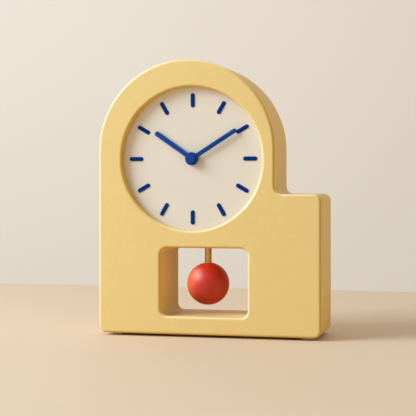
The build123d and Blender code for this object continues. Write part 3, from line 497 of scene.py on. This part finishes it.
def outline(start, end, radius):
    """A round-ended bar's outline, or a disc's where start and end are the same."""
    along = (end - start).normalized() if start != end else RIGHT
    across = Vector((-along.z, 0, along.x))
    points = []
    for middle, turn in ((end, -pi / 2), (start, pi / 2)):
        for step in range(arc_steps + 1):
            angle = turn + pi * step / arc_steps
            points.append(middle + radius * (cos(angle) * along + sin(angle) * across))
    return points


def rounded_bar(start, end, radius, back, front, inset, drop):
    """The corners and faces of a bar or disc whose front edge is rounded.

    The flat front ends inset from the rim, and the straight side ends drop behind the front.
    """
    rings = [(radius, back)]
    for step in range(round_steps + 1):
        angle = pi / 2 * step / round_steps
        rings.append((radius - inset * (1 - cos(angle)), front + drop * (1 - sin(angle))))
    corners = [
        point + Vector((0, y, 0)) for reach, y in rings for point in outline(start, end, reach)
    ]
    count = len(corners) // len(rings)
    faces = []
    for first in range(0, len(corners) - count, count):
        for point in range(count):
            here = first + point
            there = first + (point + 1) % count
            faces.append((here, there, there + count, here + count))
    faces.append(tuple(reversed(range(count))))
    faces.append(tuple(range(len(corners) - count, len(corners))))
    return corners, faces


def closed_mesh(name, shells):
    """One mesh of closed shells. Sides and rounded edges are smooth and flat ends are flat."""
    corners, faces = [], []
    for shell_corners, shell_faces in shells:
        first = len(corners)
        corners.extend(shell_corners)
        faces.extend(tuple(first + corner for corner in face) for face in shell_faces)
    mesh = bpy.data.meshes.new(name)
    mesh.from_pydata(corners, [], faces)
    mesh.validate()
    for face in mesh.polygons:
        face.use_smooth = len(face.vertices) == 4
    return mesh


def link(name, data):
    """An object in the scene, at the origin."""
    holder = bpy.data.objects.new(name, data)
    bpy.context.scene.collection.objects.link(holder)
    return holder


def fused(name, first, second):
    """Two closed meshes as one, with nothing left inside."""
    holders = [link(name, mesh) for mesh in (first, second)]
    join = holders[0].modifiers.new("join", "BOOLEAN")
    join.operation = "UNION"
    join.solver = "EXACT"
    join.object = holders[1]
    settled = holders[0].evaluated_get(bpy.context.evaluated_depsgraph_get())
    mesh = bpy.data.meshes.new_from_object(settled)
    for holder in holders:
        bpy.data.objects.remove(holder)
    return mesh


def dial_piece(name, mesh, slot, body, node):
    """One piece in place of a CAD node."""
    mesh.materials.clear()
    mesh.materials.append(materials[slot])
    piece = link(name, mesh)
    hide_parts(node)
    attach(piece, body)


hub = Vector((dial_x, 0, dial_z))
reach = marker_width / 2
inset_share, drop_share = marker_round
bars = []
for hour in range(12):
    way = direction(hour * hour_degrees)
    bars.append(rounded_bar(
        hub + way * (marker_inner_radius + reach),
        hub + way * (marker_inner_radius + marker_length - reach),
        reach, dial_face_y, dial_face_y - marker_thickness,
        reach * inset_share, marker_thickness * drop_share
    ))
markers = closed_mesh("hour_markers_rounded", bars)
dial_piece("hour_markers_rounded", markers, "marker_blue", "root", "hour_markers")

inset_share, drop_share = hand_round
for name, hand, body, turn in (
    ("hour_hand", hour_hand, "hour", (shown_hours + shown_minutes / 60) * hour_degrees),
    ("minute_hand", minute_hand, "minute", shown_minutes * minute_degrees),
):
    reach = hand["width"] / 2
    bar = rounded_bar(
        hub, hub + direction(turn) * (hand["length"] - reach), reach,
        hand["back"], hand["back"] - hand_thickness,
        reach * inset_share, hand_thickness * drop_share
    )
    boss = rounded_bar(
        hub, hub, hand["boss"], hand["back"], hand["front"], boss_round, boss_round
    )
    mesh = fused(
        name, closed_mesh(name + "_boss", [boss]), closed_mesh(name + "_bar", [bar])
    )
    dial_piece(name + "_rounded", mesh, "blue", body, name)


def sheet(name, corners, material):
    """A flat four-cornered piece of the studio."""
    mesh = bpy.data.meshes.new(name)
    mesh.from_pydata(corners, [], [(0, 1, 2, 3)])
    mesh.materials.append(material)
    holder = link(name, mesh)


sheet(
    "floor",
    [
        (-floor_half_width, floor_front, 0), (floor_half_width, floor_front, 0),
        (floor_half_width, floor_back, 0), (-floor_half_width, floor_back, 0),
    ],
    plain("floor", floor_colour, floor_rough)
)
sheet(
    "wall",
    [
        (-wall_half_width, wall_back, wall_bottom), (wall_half_width, wall_back, wall_bottom),
        (wall_half_width, wall_back, wall_top), (-wall_half_width, wall_back, wall_top),
    ],
    plain("wall", wall_colour, wall_rough)
)

# The sky lights the clock cool from the left and above, and warm from the lower right. Where
# the camera sees the sky itself past the wall, it is plain.
bpy.context.scene.view_settings.view_transform = "Standard"
world = bpy.data.worlds.new("studio")
bpy.context.scene.world = world
world.use_nodes = True
sky = Tree(world.node_tree)
seen_towards = sky.nodes.new("ShaderNodeTexCoord").outputs["Generated"]
to_warm_side = sky.vector_math("DOT_PRODUCT", seen_towards, warm_side)["Value"]
light_sky = sky.mix(sky.ramp(to_warm_side, warm_from, warm_to), cool_sky, warm_sky)
to_camera = sky.nodes.new("ShaderNodeLightPath").outputs["Is Camera Ray"]
sky_colour = sky.mix(to_camera, light_sky, shown_sky)
sky.links.new(sky_colour, sky.nodes["Background"].inputs["Color"])


def area_light(name, place, target, power, colour):
    lamp = bpy.data.lights.new(name, "AREA")
    lamp.size = key_size
    lamp.energy = power
    lamp.color = colour
    holder = link(name, lamp)
    holder.location = place
    way = Vector(target) - Vector(place)
    holder.rotation_euler = way.to_track_quat("-Z", "Y").to_euler()
    return holder


area_light("key", key_place, key_target, key_power, key_colour)

# A soft light for the pendulum alone, which the case would keep in its shade
pendulum_light = area_light(
    "pendulum_key", pendulum_key_place, pendulum_key_target, pendulum_key_power,
    pendulum_key_colour
)
lit = bpy.data.collections.new("pendulum_pieces")
for name in ("pendulum_ball", "pendulum_rod"):
    lit.objects.link(frame["nodes"][name])
pendulum_light.light_linking.receiver_collection = lit
pendulum_light.light_linking.blocker_collection = lit

camera = bpy.data.cameras.new("camera")
camera.lens = camera_lens
camera.sensor_width = camera_sensor
camera.shift_y = (horizon_row - picture_rows / 2) / picture_rows
eye = link("camera", camera)
eye.location = camera_place
eye.rotation_euler = (radians(90), 0, radians(camera_turn))
bpy.context.scene.camera = eye
